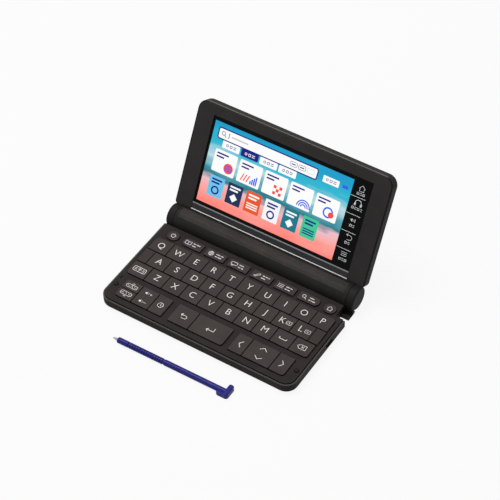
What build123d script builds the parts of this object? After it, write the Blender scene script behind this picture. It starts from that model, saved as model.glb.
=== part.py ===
from build123d import *
import os
from dataclasses import dataclass
from math import cos, radians, sin

# A pocket electronic dictionary: a keyboard base, a battery barrel along its back edge,
# and a display lid that turns about the barrel's axis. The stylus lies in front of it.
# Millimetres. +X is to the user's right, +Y away from the user, +Z up.
# The origin is on the desk, under the middle of the base.

# ---- the whole object ----
base_width = 148.5
base_depth = 93.5         # front edge of the base to the back of the barrel
desk = 0.0
open_angle = 118.5        # how far the lid stands open from shut
beyond = 400.0            # a cut that runs past the whole object

# ---- levels in the base ----
foot_height = 0.5
floor_thickness = 1.1
deck_top = 8.2
deck_thickness = 1.2
key_rise = 1.0            # caps stand this far above the deck
key_travel = 0.8
closed_gap = 1.0          # caps to the bezel when the lid is shut

# ---- lower case and deck ----
wall = 2.2
rim_width = 1.0
rim_drop = 0.8            # the rim stands this far below the deck
front_corner = 8.3
rear_corner = 2.0
bottom_round = 1.6
rim_round = 0.3
deck_groove = 0.35        # the shadow line between rim and deck
merge = 0.1               # overlap of two shapes that become one piece

# ---- cells, barrel and hinge ----
cell_radius = 7.1
cell_length = 50.5
nub_radius = 2.6
nub_height = 1.2
cell_gap = 0.25           # cell to the wall of its chamber
cell_spacing = 0.1
contact_room = 2.6        # spring room at each end of the chamber
barrel_wall = 1.0
barrel_lift = 1.25        # barrel to desk
cap_length = 5.6
cap_inset = 0.85          # cap's end from the side of the base
cap_round = 1.4
cap_gap = 0.35            # barrel to each lid cap
turning_gap = 0.35        # lid and base to the barrel
seat_gap = 0.15           # barrel to its two cradles
cradle_length = 11.9
cradle_depth = 9.8        # cradle behind the front of the barrel
shaft_radius = 2.0
shaft_running_gap = 0.05
shaft_tight_gap = 0.02
shaft_length = 16.0
shaft_bore_depth = 11.5   # bore in each end of the barrel
shaft_end_gap = 0.5
door_wall = 0.8
door_half_angle = 78.0
door_gap = 0.15
door_overlap = 1.9        # door beyond each end of the cells' chamber
door_slide = 4.0
grip_lines = 5
grip_pitch = 1.6
grip_line_width = 0.8
grip_line_depth = 0.3
grip_line_reach = 3.0
grip_from_end = 8.0

# ---- lid ----
lid_side_inset = 0.15
lid_overhang = 0.15       # past the base's front edge when shut
lid_thickness = 7.7
lid_cap_overlap = 1.75    # lid's near edge inside the round of its caps
lid_far_corner = 7.3
lid_near_corner = 4.0
lid_back_round = 1.0
lid_rim_width = 0.6
lid_groove = 0.3
lid_rim_drop = 0.3
lid_back_wall = 1.3
lid_side_wall = 1.6
bezel_thickness = 1.4
bezel_lip = 0.75          # bezel left in front of the glass
window_left_margin = 13.0
window_right_margin = 13.2
window_near = 14.4        # from the hinge axis
window_far_margin = 7.85
strip_drop = 0.35         # the strip between window and barrel
bead_width = 0.5
glass_margin = 1.8
glass_thickness = 0.7
display_thickness = 3.2
display_margin = 1.5
fit_gap = 0.1
rest_radius = 3.0         # pegs behind the display
rest_inset = 10.0

# ---- keyboard ----
letter_columns = 10
side_margin = 4.25        # letter block to the side of the base
front_margin = 5.8        # lower keys to the front edge
lower_gap = 4.5           # lower keys to the letters
function_gap = 1.8        # letter rows to the function keys
silo_key_gap = 0.8        # function keys to the silo's rib
key_gap = 0.5
row_gap = 0.8
key_clearance = 0.25      # caps to the deck
block_corner = 2.0
cap_corner = 0.5
cap_top_round = 0.25
cap_wall = 1.1
skirt_level = 5.8
plunger_level = 5.5
plunger_radius = 1.5
# depths of the lower keys and the function keys, in letter rows
lower_rows = 1.23
function_rows = 0.548
# widths in the lowest row, in letter columns
size_columns = 0.92
volume_columns = 0.935
history_columns = 0.78
back_columns = 1.135
enter_columns = 1.885
left_columns = 0.757
updown_columns = 1.45
right_columns = 0.815
cluster_inset = 4.8       # outer lower keys from the ends of the letter block
confirm_offset = 0.249    # back and enter keys, right of the middle of the room left for them
# the row behind the letters
function_count = 6
function_spacing = 2.94
function_side_gap = 2.38
function_end_round = 3.0
round_key_inset = 8.6     # middle of the power and home keys from the block's ends
round_key_width = 8.6
round_key_depth = 7.8
round_key_corner = 3.7

# ---- board and mat ----
board_lift = 0.7          # board above the case floor
board_thickness = 1.0
board_margin = 0.9
chip_depth = 0.5
chip_front = -12.0
chip_places = ((-18.0, 12.0), (16.0, 9.0))   # left edge and side of each chip
rest_columns = (-45.0, 0.0, 45.0)
mat_thickness = 0.6
dome_radius = 2.4
dome_margin = 0.2         # left under a plunger at the end of its travel
fulcrum_width = 1.2
fulcrum_length = 6.0
fulcrum_gap = 0.4

# ---- screws and feet ----
screw_radius = 0.8
screw_head_radius = 1.45
screw_head_height = 0.7
screw_reach = 5.5         # length above the case's bottom
screw_gap = 0.05
head_gap = 0.15
cross_width = 0.4
cross_length = 1.8
cross_depth = 0.3
boss_radius = 1.6
pad_radius = 2.4
pad_height = 1.0
corner_screw_inset = 5.25
corner_screw_front = 12.6
rear_screw_gap = 1.9      # rear deck screws beyond the outer function keys
cradle_screw_depth = 5.0  # barrel screws in front of the hinge axis
foot_radius = 3.6
foot_length = 11.0
front_foot_margin = 8.6
rear_foot_depth = 4.0     # rear feet in front of the hinge axis

# ---- stylus and its silo ----
stylus_radius = 2.05
stylus_length = 89.2
nib_length = 3.6
nib_point = 0.45
nib_base = 1.15
collar_end = 12.0
collar_round = 0.7
groove_width = 1.0
groove_depth = 0.65
grip_end = 40.0
grip_depth = 0.4
ring_pitch = 1.75
ring_width = 1.0
head_length = 9.0
head_front = 3.7
head_rise = 0.8
head_corner = 2.0
head_round = 0.6
neck_overlap = 1.0        # shaft run on into the head
hook_width = 3.5
hook_reach = 5.7
hook_corner = 1.2
hook_round = 0.5
stylus_tip_x = -47.76
stylus_forward = 20.18    # stylus tip in front of the base
stylus_turn = 0.54
silo_gap = 0.1
silo_wall = 0.35
silo_roof = 1.2
silo_depth = 9.55         # silo in front of the hinge axis
silo_end_wall = 1.4
trough_gap = 0.15         # trough at the silo's mouth, wider than the silo
pocket_inset = 7.05       # pocket's left side from the side of the base
pocket_reach = 9.55       # pocket in front of the silo's axis
pocket_wall = 0.8
notch_gap = 3.1           # ledge behind the notch, in front of the silo's axis
ledge_rise = 0.65         # ledge above the silo's axis
ledge_inset = 1.05

# ---- charging socket in the right wall ----
socket_width = 7.6
socket_height = 2.7
socket_depth = 5.6
socket_wall = 0.3
socket_back = 1.0
socket_gap = 0.15
socket_tongue = 0.5
tongue_inset = 1.4
tongue_setback = 1.0      # tongue behind the mouth
socket_behind = 2.2       # socket's middle behind the middle of the letter rows

# ---- small marks on the deck ----
bump_radius = 1.7
bump_height = 0.5
bump_inset = 4.45
bump_front = 14.3
slot_inset = 4.05
slot_front = 19.6
slot_length = 2.9
slot_width = 0.7
slot_depth = 0.5

# ---- places worked out from the sizes above ----
case_bottom = desk + foot_height
floor_top = case_bottom + floor_thickness
deck_under = deck_top - deck_thickness
key_top = deck_top + key_rise
half_width = base_width / 2
inner_half = half_width - wall
front_y = -base_depth / 2

chamber_radius = cell_radius + cell_gap
chamber_half = cell_length + nub_height + contact_room
barrel_radius = chamber_radius + barrel_wall
swept_radius = barrel_radius + turning_gap
hinge_y = base_depth / 2 - barrel_radius
hinge_z = desk + barrel_lift + barrel_radius
cap_end = half_width - cap_inset
cap_start = cap_end - cap_length
barrel_half = cap_start - cap_gap
cradle_inner = barrel_half - cradle_length
shaft_inner = barrel_half - shaft_bore_depth + shaft_end_gap

lid_turn = 180 - open_angle
lid_face = hinge_z - key_top - closed_gap
lid_length = hinge_y - front_y + lid_overhang
lid_half = half_width - lid_side_inset
window = (
    window_left_margin - lid_half,
    lid_half - window_right_margin,
    window_near,
    lid_length - window_far_margin,
)

silo_radius = stylus_radius + silo_gap
silo_y = hinge_y - silo_depth
silo_z = deck_under - silo_roof - silo_radius
silo_face = silo_y - silo_radius - silo_wall
pocket_left = half_width - pocket_inset
pocket_front = silo_y - pocket_reach
silo_left = pocket_left - stylus_length + head_length

block_half = half_width - side_margin
letter_pitch = 2 * block_half / letter_columns
key_room = silo_face - front_y - front_margin - lower_gap - function_gap - silo_key_gap
row_pitch = key_room / (lower_rows + 3 + function_rows)
key_depth = row_pitch - row_gap
lower_front = front_y + front_margin
lower_depth = lower_rows * row_pitch
letters_front = lower_front + lower_depth + lower_gap
function_front = letters_front + 3 * row_pitch + function_gap
function_depth = function_rows * row_pitch
left_cluster_columns = (size_columns, volume_columns, history_columns)
left_cluster_widths = [letter_pitch * columns for columns in left_cluster_columns]
confirm_widths = [letter_pitch * columns for columns in (back_columns, enter_columns)]
arrow_widths = [letter_pitch * columns for columns in (left_columns, updown_columns, right_columns)]
round_key_x = block_half - round_key_inset
function_pitch = 2 * (round_key_x - round_key_width / 2 - function_side_gap) / function_count
function_half = function_pitch * function_count / 2 - function_spacing / 2

board_level = floor_top + board_lift
board_top = board_level + board_thickness
mat_top = board_top + mat_thickness
dome_top = plunger_level - key_travel - dome_margin
pad_top = floor_top + pad_height
screw_tip = case_bottom + screw_reach
deck_screws = [
    (-(half_width - corner_screw_inset), front_y + corner_screw_front),
    (half_width - corner_screw_inset, front_y + corner_screw_front),
    (-(function_half + rear_screw_gap), function_front + function_depth / 2),
    (function_half + rear_screw_gap, function_front + function_depth / 2),
]
cradle_middle = barrel_half - cradle_length / 2
barrel_screws = [(side * cradle_middle, hinge_y - cradle_screw_depth) for side in (-1, 1)]
socket_y = letters_front + 1.5 * row_pitch + socket_behind


def slab(left, right, front, back, bottom, top):
    """A block between six planes."""
    middle = ((left + right) / 2, (front + back) / 2, (bottom + top) / 2)
    return Pos(*middle) * Box(right - left, back - front, top - bottom)


def rounded_slab(left, right, front, back, bottom, top, corners):
    """A block with its upright edges rounded: front left, front right, back right, back left."""
    block = slab(left, right, front, back, bottom, top)
    plan = [(left, front), (right, front), (right, back), (left, back)]
    places = [(x, y, (bottom + top) / 2) for x, y in plan]
    for radius in sorted(set(corners) - {0}):
        upright = block.edges().filter_by(Axis.Z)
        chosen = [place for place, corner in zip(places, corners) if corner == radius]
        block = fillet([upright.sort_by_distance(place)[0] for place in chosen], radius)
    return block


def post(x, y, bottom, top, radius):
    """An upright round bar."""
    return Pos(x, y, (bottom + top) / 2) * Cylinder(radius, top - bottom)


def rod(start, end, y, z, radius):
    """A round bar along X between two ends, given in either order."""
    return Pos((start + end) / 2, y, z) * Rot(0, 90, 0) * Cylinder(radius, abs(end - start))


def round_top(shape, radius):
    return fillet(shape.edges().group_by(Axis.Z)[-1], radius)


def on_lid(shape):
    """Place a shape drawn in the lid's frame: Y up the lid from the hinge axis, Z out of its face."""
    return Pos(0, hinge_y, hinge_z) * Rot(lid_turn, 0, 0) * shape


# ---- the keyboard's layout ----


@dataclass
class Key:
    """A cap seen from above: its name, its edges and its four corner radii."""

    name: str
    left: float
    right: float
    front: float
    back: float
    corners: tuple = (cap_corner,) * 4
    rocks: bool = False

    def middle(self):
        return (self.left + self.right) / 2, (self.front + self.back) / 2


def key_row(names, start, widths, front, depth):
    """Keys side by side from start, each taking its width less the gap between caps."""
    keys = []
    left = start
    for name, width in zip(names, widths):
        keys.append(Key(name, left + key_gap / 2, left + width - key_gap / 2, front, front + depth))
        left += width
    return keys


def letter_keys():
    """Three rows on one pitch, the middle one set in by half a key."""
    rows = ["qwertyuiop", "asdfghjkl", ["shift", *"zxcvbnm", "space", "delete"]]
    starts = [-block_half, -block_half + letter_pitch / 2, -block_half]
    small = cap_corner
    outer = {
        "key_q": (small, small, small, block_corner),
        "key_p": (small, small, block_corner, small),
        "key_shift": (block_corner, small, small, small),
        "key_delete": (small, block_corner, small, small),
    }
    keys = []
    for step, (row, start) in enumerate(zip(rows, starts)):
        names = ["key_" + name for name in row]
        front = letters_front + (2 - step) * row_pitch
        keys += key_row(names, start, [letter_pitch] * len(names), front, key_depth)
    for key in keys:
        key.corners = outer.get(key.name, key.corners)
    return keys


def function_keys():
    """Six wide keys behind the letters; the outer ends of the row are rounded."""
    back = function_front + function_depth
    keys = []
    for place in range(function_count):
        left = -function_half + place * function_pitch
        right = left + function_pitch - function_spacing
        keys.append(Key(f"key_function_{place + 1}", left, right, function_front, back))
    small = cap_corner
    keys[0].corners = (function_end_round, small, small, function_end_round)
    keys[-1].corners = (small, function_end_round, function_end_round, small)
    return keys


def round_keys():
    """The power key on the left and the home key on the right."""
    front = function_front + function_depth / 2 - round_key_depth / 2
    keys = []
    for name, side in (("key_power", -1), ("key_home", 1)):
        left = side * round_key_x - round_key_width / 2
        edges = (left, left + round_key_width, front, front + round_key_depth)
        keys.append(Key(name, *edges, (round_key_corner,) * 4))
    return keys


def left_cluster_keys():
    """Text size larger and smaller, the volume rocker and the history key."""
    names = ["key_size", "key_volume", "key_history"]
    start = cluster_inset - block_half
    size, volume, history = key_row(names, start, left_cluster_widths, lower_front, lower_depth)
    volume.rocks = True
    middle = (size.front + size.back) / 2
    small = cap_corner
    sides = (size.left, size.right)
    front_corners = (block_corner, small, small, small)
    back_corners = (small, small, small, block_corner)
    down = Key("key_size_down", *sides, size.front, middle - key_gap / 2, front_corners)
    up = Key("key_size_up", *sides, middle + key_gap / 2, size.back, back_corners)
    return [down, up, volume, history]


def confirm_keys():
    """The back key and the large enter key."""
    left_end = cluster_inset - block_half + sum(left_cluster_widths)
    right_end = block_half - cluster_inset - sum(arrow_widths)
    start = (left_end + right_end - sum(confirm_widths)) / 2 + confirm_offset
    names = ["key_back", "key_enter"]
    back, enter = key_row(names, start, confirm_widths, lower_front, lower_depth)
    enter.corners = (cap_corner, block_corner, cap_corner, cap_corner)
    return [back, enter]


def arrow_keys():
    """Left, the up and down rocker, and right."""
    names = ["key_left", "key_up_down", "key_right"]
    start = block_half - cluster_inset - sum(arrow_widths)
    left, updown, right = key_row(names, start, arrow_widths, lower_front, lower_depth)
    updown.rocks = True
    right.corners = (cap_corner, block_corner, cap_corner, cap_corner)
    return [left, updown, right]


letters = letter_keys()
functions = function_keys()
round_caps = round_keys()
lower_groups = [left_cluster_keys(), confirm_keys(), arrow_keys()]
deck_groups = [letters, *lower_groups] + [[key] for key in functions + round_caps]
all_keys = [key for group in deck_groups for key in group]


def plunger_places(key):
    """A key presses in its middle; a rocker presses near its front and back edges."""
    x, y = key.middle()
    if not key.rocks:
        return [(x, y)]
    reach = (key.back - key.front) / 4
    return [(x, y - reach), (x, y + reach)]


def key_cap(key):
    """A hollow cap with plungers that reach down to the rubber mat."""
    cap = rounded_slab(key.left, key.right, key.front, key.back, skirt_level, key_top, key.corners)
    cap = round_top(cap, cap_top_round)
    inside = (key.left + cap_wall, key.right - cap_wall, key.front + cap_wall, key.back - cap_wall)
    cap -= slab(*inside, skirt_level, key_top - cap_wall)
    for x, y in plunger_places(key):
        cap += post(x, y, plunger_level, key_top - cap_wall / 2, plunger_radius)
    return cap


# ---- base ----


def opening_for(group):
    """The deck's opening round a group of keys, with corners that follow the outer keys."""
    left = min(key.left for key in group)
    right = max(key.right for key in group)
    front = min(key.front for key in group)
    back = max(key.back for key in group)
    corners = []
    for place, (x, y) in enumerate([(left, front), (right, front), (right, back), (left, back)]):
        outer = min(group, key=lambda key: abs(key.middle()[0] - x) + abs(key.middle()[1] - y))
        corners.append(outer.corners[place] + key_clearance)
    grow = key_clearance
    edges = (left - grow, right + grow, front - grow, back + grow)
    return rounded_slab(*edges, deck_under, beyond, corners)


def filler_plates():
    """Fixed blank plates that fill the two ends of the middle letter row."""
    front = letters_front + row_pitch
    inner = block_half - letter_pitch / 2 + key_gap / 2
    plates = []
    for side in (-1, 1):
        near, far = sorted((side * inner, side * block_half))
        plates.append(slab(near, far, front, front + key_depth, deck_under, key_top))
        near, far = sorted((side * block_half, side * (block_half + rim_width)))
        plates.append(slab(near, far, front, front + key_depth, deck_under, deck_top))
    return plates


def stylus_pocket(grow=0.0):
    """The corner left open for the stylus's hooked head; grow adds the wall round it."""
    return slab(pocket_left - grow, beyond, pocket_front - grow, beyond, -beyond, beyond)


def closed_bump(side):
    """A low round bump beside the lower keys that the shut lid comes down to."""
    x = side * (half_width - bump_inset)
    bump = post(x, front_y + bump_front, deck_under, deck_top + bump_height, bump_radius)
    return round_top(bump, bump_height / 2)


def keyboard_deck():
    """The top plate, with an opening for each group of keys and bosses for its screws."""
    inset = rim_width + deck_groove
    corner = front_corner - inset
    edges = (inset - half_width, half_width - inset, front_y + inset, hinge_y)
    deck = round_top(rounded_slab(*edges, deck_under, deck_top, (corner, corner, 0, 0)), rim_round)
    for group in deck_groups:
        deck -= opening_for(group)
    for plate in filler_plates():
        deck += plate
    for x, y in deck_screws:
        deck += post(x, y, pad_top, deck_under + merge, boss_radius)
        deck -= post(x, y, pad_top, screw_tip + screw_gap, screw_radius + screw_gap)
    deck = deck + closed_bump(-1) + closed_bump(1)
    slot_x = slot_inset - half_width
    slot_edges = (slot_x - slot_width / 2, slot_x + slot_width / 2)
    slot_start = front_y + slot_front
    deck -= slab(*slot_edges, slot_start, slot_start + slot_length, deck_top - slot_depth, deck_top)
    deck -= stylus_pocket()
    return deck - rod(-beyond, beyond, hinge_y, hinge_z, swept_radius)


def silo_block():
    """The solid rib behind the function keys that the stylus's silo runs through."""
    left = silo_left - silo_end_wall
    return slab(left, inner_half + merge, silo_face, hinge_y, case_bottom, deck_under)


def case_shell():
    """The outer tub, with a ledge inside its rim for the deck."""
    edges = (-half_width, half_width, front_y, hinge_y - barrel_radius / 2)
    corners = (front_corner, front_corner, rear_corner, rear_corner)
    shell = rounded_slab(*edges, case_bottom, deck_top - rim_drop, corners)
    shell = fillet(shell.edges().group_by(Axis.Z)[0], bottom_round)
    shell = round_top(shell, rim_round)
    seat_corner = front_corner - rim_width
    seat = (rim_width - half_width, half_width - rim_width, front_y + rim_width, beyond)
    shell -= rounded_slab(*seat, deck_under, beyond, (seat_corner, seat_corner, 0, 0))
    room_corner = front_corner - wall
    inside = (-inner_half, inner_half, front_y + wall, hinge_y - swept_radius - rim_width)
    room = rounded_slab(*inside, floor_top, beyond, (room_corner, room_corner, 0, 0))
    return shell - (room - stylus_pocket(pocket_wall) - silo_block())


def cradles():
    """Two tongues under the ends of the barrel, each with a curved seat."""
    front = hinge_y - barrel_radius - wall
    back = hinge_y - barrel_radius + cradle_depth
    left = slab(-barrel_half, -cradle_inner, front, back, case_bottom, deck_under)
    return left + slab(cradle_inner, barrel_half, front, back, case_bottom, deck_under)


def barrel_space():
    """What the case leaves clear for the barrel: close at the cradles, wide elsewhere."""
    space = rod(-cradle_inner, cradle_inner, hinge_y, hinge_z, swept_radius)
    seat = barrel_radius + seat_gap
    for side in (-1, 1):
        space += rod(side * cradle_inner, side * barrel_half, hinge_y, hinge_z, seat)
        space += rod(side * barrel_half, side * half_width * 2, hinge_y, hinge_z, swept_radius)
    return space


def stylus_corner():
    """The cuts at the right rear corner: a notch, a ledge, and the silo with a trough at its mouth."""
    ledge_front = silo_y - notch_gap
    cuts = slab(pocket_left, beyond, pocket_front, ledge_front, -beyond, beyond)
    cuts += slab(pocket_left, beyond, ledge_front - merge, beyond, silo_z + ledge_rise, beyond)
    cuts += slab(half_width - ledge_inset, beyond, ledge_front - merge, beyond, -beyond, beyond)
    half = silo_radius + trough_gap
    cuts += slab(pocket_left, beyond, silo_y - half, silo_y + half, silo_z - half, beyond)
    return cuts + rod(silo_left, pocket_left + merge, silo_y, silo_z, silo_radius)


def board_rests():
    """Pegs on the case floor that carry the board, between the key rows."""
    rows = (letters_front - lower_gap / 2, function_front - function_gap)
    places = [(x, y) for x in rest_columns for y in rows]
    return [post(x, y, floor_top - merge, board_level, boss_radius) for x, y in places]


def screw_hole(x, y):
    """A clearance hole from below with a counterbore that hides the head."""
    head_top = case_bottom + head_gap + screw_head_height
    hole = post(x, y, case_bottom - merge, head_top, screw_head_radius + head_gap)
    return hole + post(x, y, case_bottom - merge, screw_tip + screw_gap, screw_radius + screw_gap)


def lower_case():
    """The bottom shell: walls, screw pads, board rests, barrel cradles and the socket's opening."""
    case = case_shell() + cradles()
    case -= barrel_space()
    case -= stylus_corner()
    for x, y in deck_screws:
        case += post(x, y, floor_top - merge, pad_top, pad_radius)
    for x, y in deck_screws + barrel_screws:
        case -= screw_hole(x, y)
    for peg in board_rests():
        case += peg
    half = socket_width / 2 + socket_gap
    low = board_top - socket_gap
    high = board_top + socket_height + socket_gap
    return case - slab(inner_half - merge, beyond, socket_y - half, socket_y + half, low, high)


def charging_socket():
    """A micro USB shell on the board's right edge, open outwards, with its tongue."""
    inner = inner_half - socket_depth
    half = socket_width / 2
    top = board_top + socket_height
    socket = slab(inner, inner_half, socket_y - half, socket_y + half, board_top - merge, top)
    mouth_half = half - socket_wall
    across = (socket_y - mouth_half, socket_y + mouth_half)
    mouth = slab(inner + socket_back, inner_half, *across, board_top + socket_wall, top - socket_wall)
    socket -= mouth
    tongue_half = half - tongue_inset
    low = (board_top + top - socket_tongue) / 2
    sides = (socket_y - tongue_half, socket_y + tongue_half)
    return socket + slab(inner, inner_half - tongue_setback, *sides, low, low + socket_tongue)


def main_board():
    """The circuit board, with two chips below it and a charging socket at its right edge."""
    reach = inner_half - board_margin
    edges = (-reach, reach, front_y + wall + board_margin, silo_face - board_margin)
    corner = front_corner - wall - board_margin
    board = rounded_slab(*edges, board_level, board_top, (corner, corner, 0, 0))
    board -= stylus_pocket(pocket_wall + board_margin)
    for x, y in deck_screws:
        board -= post(x, y, board_level, board_top, pad_radius + fit_gap)
    low = board_level - chip_depth
    for left, side in chip_places:
        board += slab(left, left + side, chip_front, chip_front + side, low, board_level + merge)
    return board + charging_socket()


def fulcrum_rib(key):
    """The rib across the middle of a rocker, just short of the cap's underside."""
    x, y = key.middle()
    across = (x - fulcrum_length / 2, x + fulcrum_length / 2)
    along = (y - fulcrum_width / 2, y + fulcrum_width / 2)
    return slab(*across, *along, board_top, key_top - cap_wall - fulcrum_gap)


def key_mat():
    """The rubber sheet on the board, with a dome under each plunger and a rib under each rocker."""
    left = min(key.left for key in all_keys)
    right = max(key.right for key in all_keys)
    front = min(key.front for key in all_keys)
    mat = slab(left, right, front, silo_face - board_margin, board_top, mat_top)
    mat -= stylus_pocket(pocket_wall + board_margin)
    for key in all_keys:
        for x, y in plunger_places(key):
            mat += post(x, y, board_top, dome_top, dome_radius)
        if key.rocks:
            mat += fulcrum_rib(key)
    for x, y in deck_screws:
        mat -= post(x, y, board_top, beyond, pad_radius + fit_gap)
    half = socket_width / 2 + socket_wall
    inner = inner_half - socket_depth - socket_wall
    return mat - slab(inner, beyond, socket_y - half, socket_y + half, board_top, beyond)


def door_band(left, right, grow, outer):
    """The curved band that the battery door fills, open towards the desk."""
    band = rod(left, right, hinge_y, hinge_z, outer)
    band -= rod(left, right, hinge_y, hinge_z, door_inner - grow)
    half_angle = radians(door_half_angle)
    reach = outer * sin(half_angle) + outer
    level = hinge_z - door_inner * cos(half_angle) + grow
    return band & slab(left, right, hinge_y - reach, hinge_y + reach, hinge_z - reach, level)


door_inner = barrel_radius - door_wall
door_half = chamber_half + door_overlap


def battery_barrel():
    """The tube along the back: a chamber for two cells, and solid ends for the hinge shafts."""
    barrel = rod(-barrel_half, barrel_half, hinge_y, hinge_z, barrel_radius)
    barrel -= rod(-chamber_half, chamber_half, hinge_y, hinge_z, chamber_radius)
    door_end = door_half + door_gap
    barrel -= door_band(-door_end, door_end + door_slide, door_gap, barrel_radius * 2)
    bore_radius = shaft_radius + shaft_running_gap
    for side in (-1, 1):
        inner = side * (barrel_half - shaft_bore_depth)
        barrel -= rod(inner, side * half_width, hinge_y, hinge_z, bore_radius)
    for x, y in barrel_screws:
        barrel -= post(x, y, desk, screw_tip + screw_gap, screw_radius + screw_gap)
    return barrel


def battery_door():
    """The curved cover under the cells, with grip lines. It slides along the barrel to come free."""
    door = door_band(-door_half, door_half, 0.0, barrel_radius)
    top = hinge_z - barrel_radius + grip_line_depth
    for place in range(grip_lines):
        x = door_half - grip_from_end - place * grip_pitch
        across = (hinge_y - grip_line_reach, hinge_y + grip_line_reach)
        door -= slab(x, x + grip_line_width, *across, desk, top)
    return door


def aa_cells():
    """Two cells in line, both with the nub of the positive end to the right."""
    cells = []
    for start in (-cell_length - nub_height, cell_spacing):
        end = start + cell_length
        body = rod(start, end, hinge_y, hinge_z, cell_radius)
        cells.append(body + rod(end - merge, end + nub_height, hinge_y, hinge_z, nub_radius))
    return cells


def hinge_shafts():
    """One steel shaft at each end, tight in the lid's cap and turning in the barrel."""
    outer = shaft_inner + shaft_length
    return [rod(side * shaft_inner, side * outer, hinge_y, hinge_z, shaft_radius) for side in (-1, 1)]


def case_screws():
    """Six small screws, head down: four into the deck and two into the barrel."""
    parts = []
    seat = case_bottom + head_gap / 2
    for x, y in deck_screws + barrel_screws:
        screw = post(x, y, seat, seat + screw_head_height, screw_head_radius)
        screw += post(x, y, seat, screw_tip, screw_radius)
        for long, wide in ((cross_length, cross_width), (cross_width, cross_length)):
            screw -= Pos(x, y, seat) * Box(long, wide, 2 * cross_depth)
        parts.append(screw)
    return parts


def rubber_feet():
    """Four long pads, two near the front edge and two under the cradles."""
    parts = []
    for y in (front_y + front_foot_margin, hinge_y - rear_foot_depth):
        for side in (-1, 1):
            x = side * cradle_middle
            edges = (x - foot_length / 2, x + foot_length / 2, y - foot_radius, y + foot_radius)
            parts.append(rounded_slab(*edges, desk, case_bottom, (foot_radius - merge,) * 4))
    return parts


# ---- lid, drawn flat in its own frame ----


def lid_outline(inset, bottom, top, near=barrel_radius - lid_cap_overlap):
    """The lid's plan, drawn in by inset all round."""
    near_corner = lid_near_corner - inset
    far_corner = lid_far_corner - inset
    edges = (inset - lid_half, lid_half - inset, near + inset, lid_length - inset)
    return rounded_slab(*edges, bottom, top, (near_corner, near_corner, far_corner, far_corner))


def glass_back():
    return lid_face - bezel_lip - glass_thickness


def display_back():
    return glass_back() - display_thickness


def around_window(margin, bottom, top):
    left, right, near, far = window
    return slab(left - margin, right + margin, near - margin, far + margin, bottom, top)


def shaft_cap(side):
    """The round cap at one end of the barrel that carries a hinge shaft."""
    cap = rod(side * cap_start, side * cap_end, 0, 0, barrel_radius)
    rims = cap.edges().filter_by(GeomType.CIRCLE).sort_by(Axis.X)
    return fillet(rims[-1] if side > 0 else rims[0], cap_round)


def lid_back_cover():
    """The back shell of the lid, with the two caps that carry the hinge shafts."""
    back = lid_face - lid_thickness
    inside = back + lid_back_wall
    cover = lid_outline(0, back, lid_face - lid_rim_drop)
    cover = fillet(cover.edges().group_by(Axis.Z)[0], lid_back_round)
    cover = round_top(cover, lid_rim_width / 2)
    cover -= lid_outline(lid_rim_width, lid_face - bezel_thickness, beyond, near=-beyond)
    room = lid_outline(lid_side_wall + lid_rim_width, inside, beyond)
    cover -= room - rod(-beyond, beyond, 0, 0, swept_radius + lid_back_wall)
    cover -= rod(-cap_start, cap_start, 0, 0, swept_radius)
    cover = cover + shaft_cap(-1) + shaft_cap(1)
    shaft_end = shaft_inner + shaft_length + shaft_running_gap
    cover -= rod(-shaft_end, shaft_end, 0, 0, shaft_radius + shaft_tight_gap)
    left, right, near, far = window
    for x in (left + rest_inset, right - rest_inset):
        for y in (near + rest_inset, far - rest_inset):
            cover += post(x, y, inside - merge, display_back(), rest_radius)
    return on_lid(cover)


def lid_front_bezel():
    """The frame round the display. Below the window it steps down to a strip with a fine bead."""
    seat = lid_face - bezel_thickness
    bezel = lid_outline(lid_rim_width + lid_groove, seat, lid_face, near=swept_radius / 2)
    bezel = round_top(bezel, rim_round)
    left, right, near, _ = window
    bezel -= slab(left, right, 0, near, lid_face - strip_drop, beyond)
    bead_near = swept_radius + turning_gap
    bezel += slab(left, right, bead_near, bead_near + bead_width, seat, lid_face)
    bezel -= around_window(0, -beyond, beyond)
    bezel -= around_window(glass_margin + fit_gap, seat, lid_face - bezel_lip)
    bezel -= rod(-cap_start - turning_gap, cap_start + turning_gap, 0, 0, swept_radius)
    return on_lid(bezel - rod(-beyond, beyond, 0, 0, barrel_radius + fit_gap))


def display_panel():
    """The touch glass with the display module behind it."""
    glass = around_window(glass_margin, glass_back(), lid_face - bezel_lip)
    return on_lid(glass + around_window(display_margin, display_back(), glass_back()))


# ---- stylus ----


def stylus():
    """A slim pen with a collar, a ribbed grip and a hooked head, lying on the desk."""
    pen = Pos(nib_length / 2, 0, 0) * Rot(0, 90, 0) * Cone(nib_point, nib_base, nib_length)
    collar = rod(nib_length, collar_end, 0, 0, stylus_radius)
    pen += fillet(collar.edges().group_by(Axis.X)[0], collar_round)
    grip_start = collar_end + groove_width
    pen += rod(collar_end, grip_start, 0, 0, stylus_radius - groove_depth)
    pen += rod(grip_start, grip_end, 0, 0, stylus_radius - grip_depth)
    for ring in range(int((grip_end - grip_start) / ring_pitch)):
        start = grip_start + ring * ring_pitch
        pen += rod(start, start + ring_width, 0, 0, stylus_radius)
    under = -stylus_radius
    neck = stylus_length - head_length
    hook_left = stylus_length - hook_width
    pen += rod(grip_end, hook_left + neck_overlap, 0, 0, stylus_radius)
    block_edges = (neck, stylus_length, -head_front, 0)
    block = rounded_slab(*block_edges, under, head_rise, (head_corner, head_corner, 0, 0))
    hook_edges = (hook_left, stylus_length, -head_front, hook_reach)
    corners = (0, head_corner, hook_corner, hook_corner)
    hook = rounded_slab(*hook_edges, under, stylus_radius, corners)
    pen = pen + round_top(block, head_round) + round_top(hook, hook_round)
    tip = Pos(stylus_tip_x, front_y - stylus_forward, desk + stylus_radius)
    return tip * Rot(0, 0, stylus_turn) * pen


def write(name, shape):
    """One file for each node; a group of alike pieces is kept as separate solids."""
    if isinstance(shape, list):
        shape = Compound(children=[piece.solid() for piece in shape])
    export_step(shape, f"parts/{name}.step")


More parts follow.
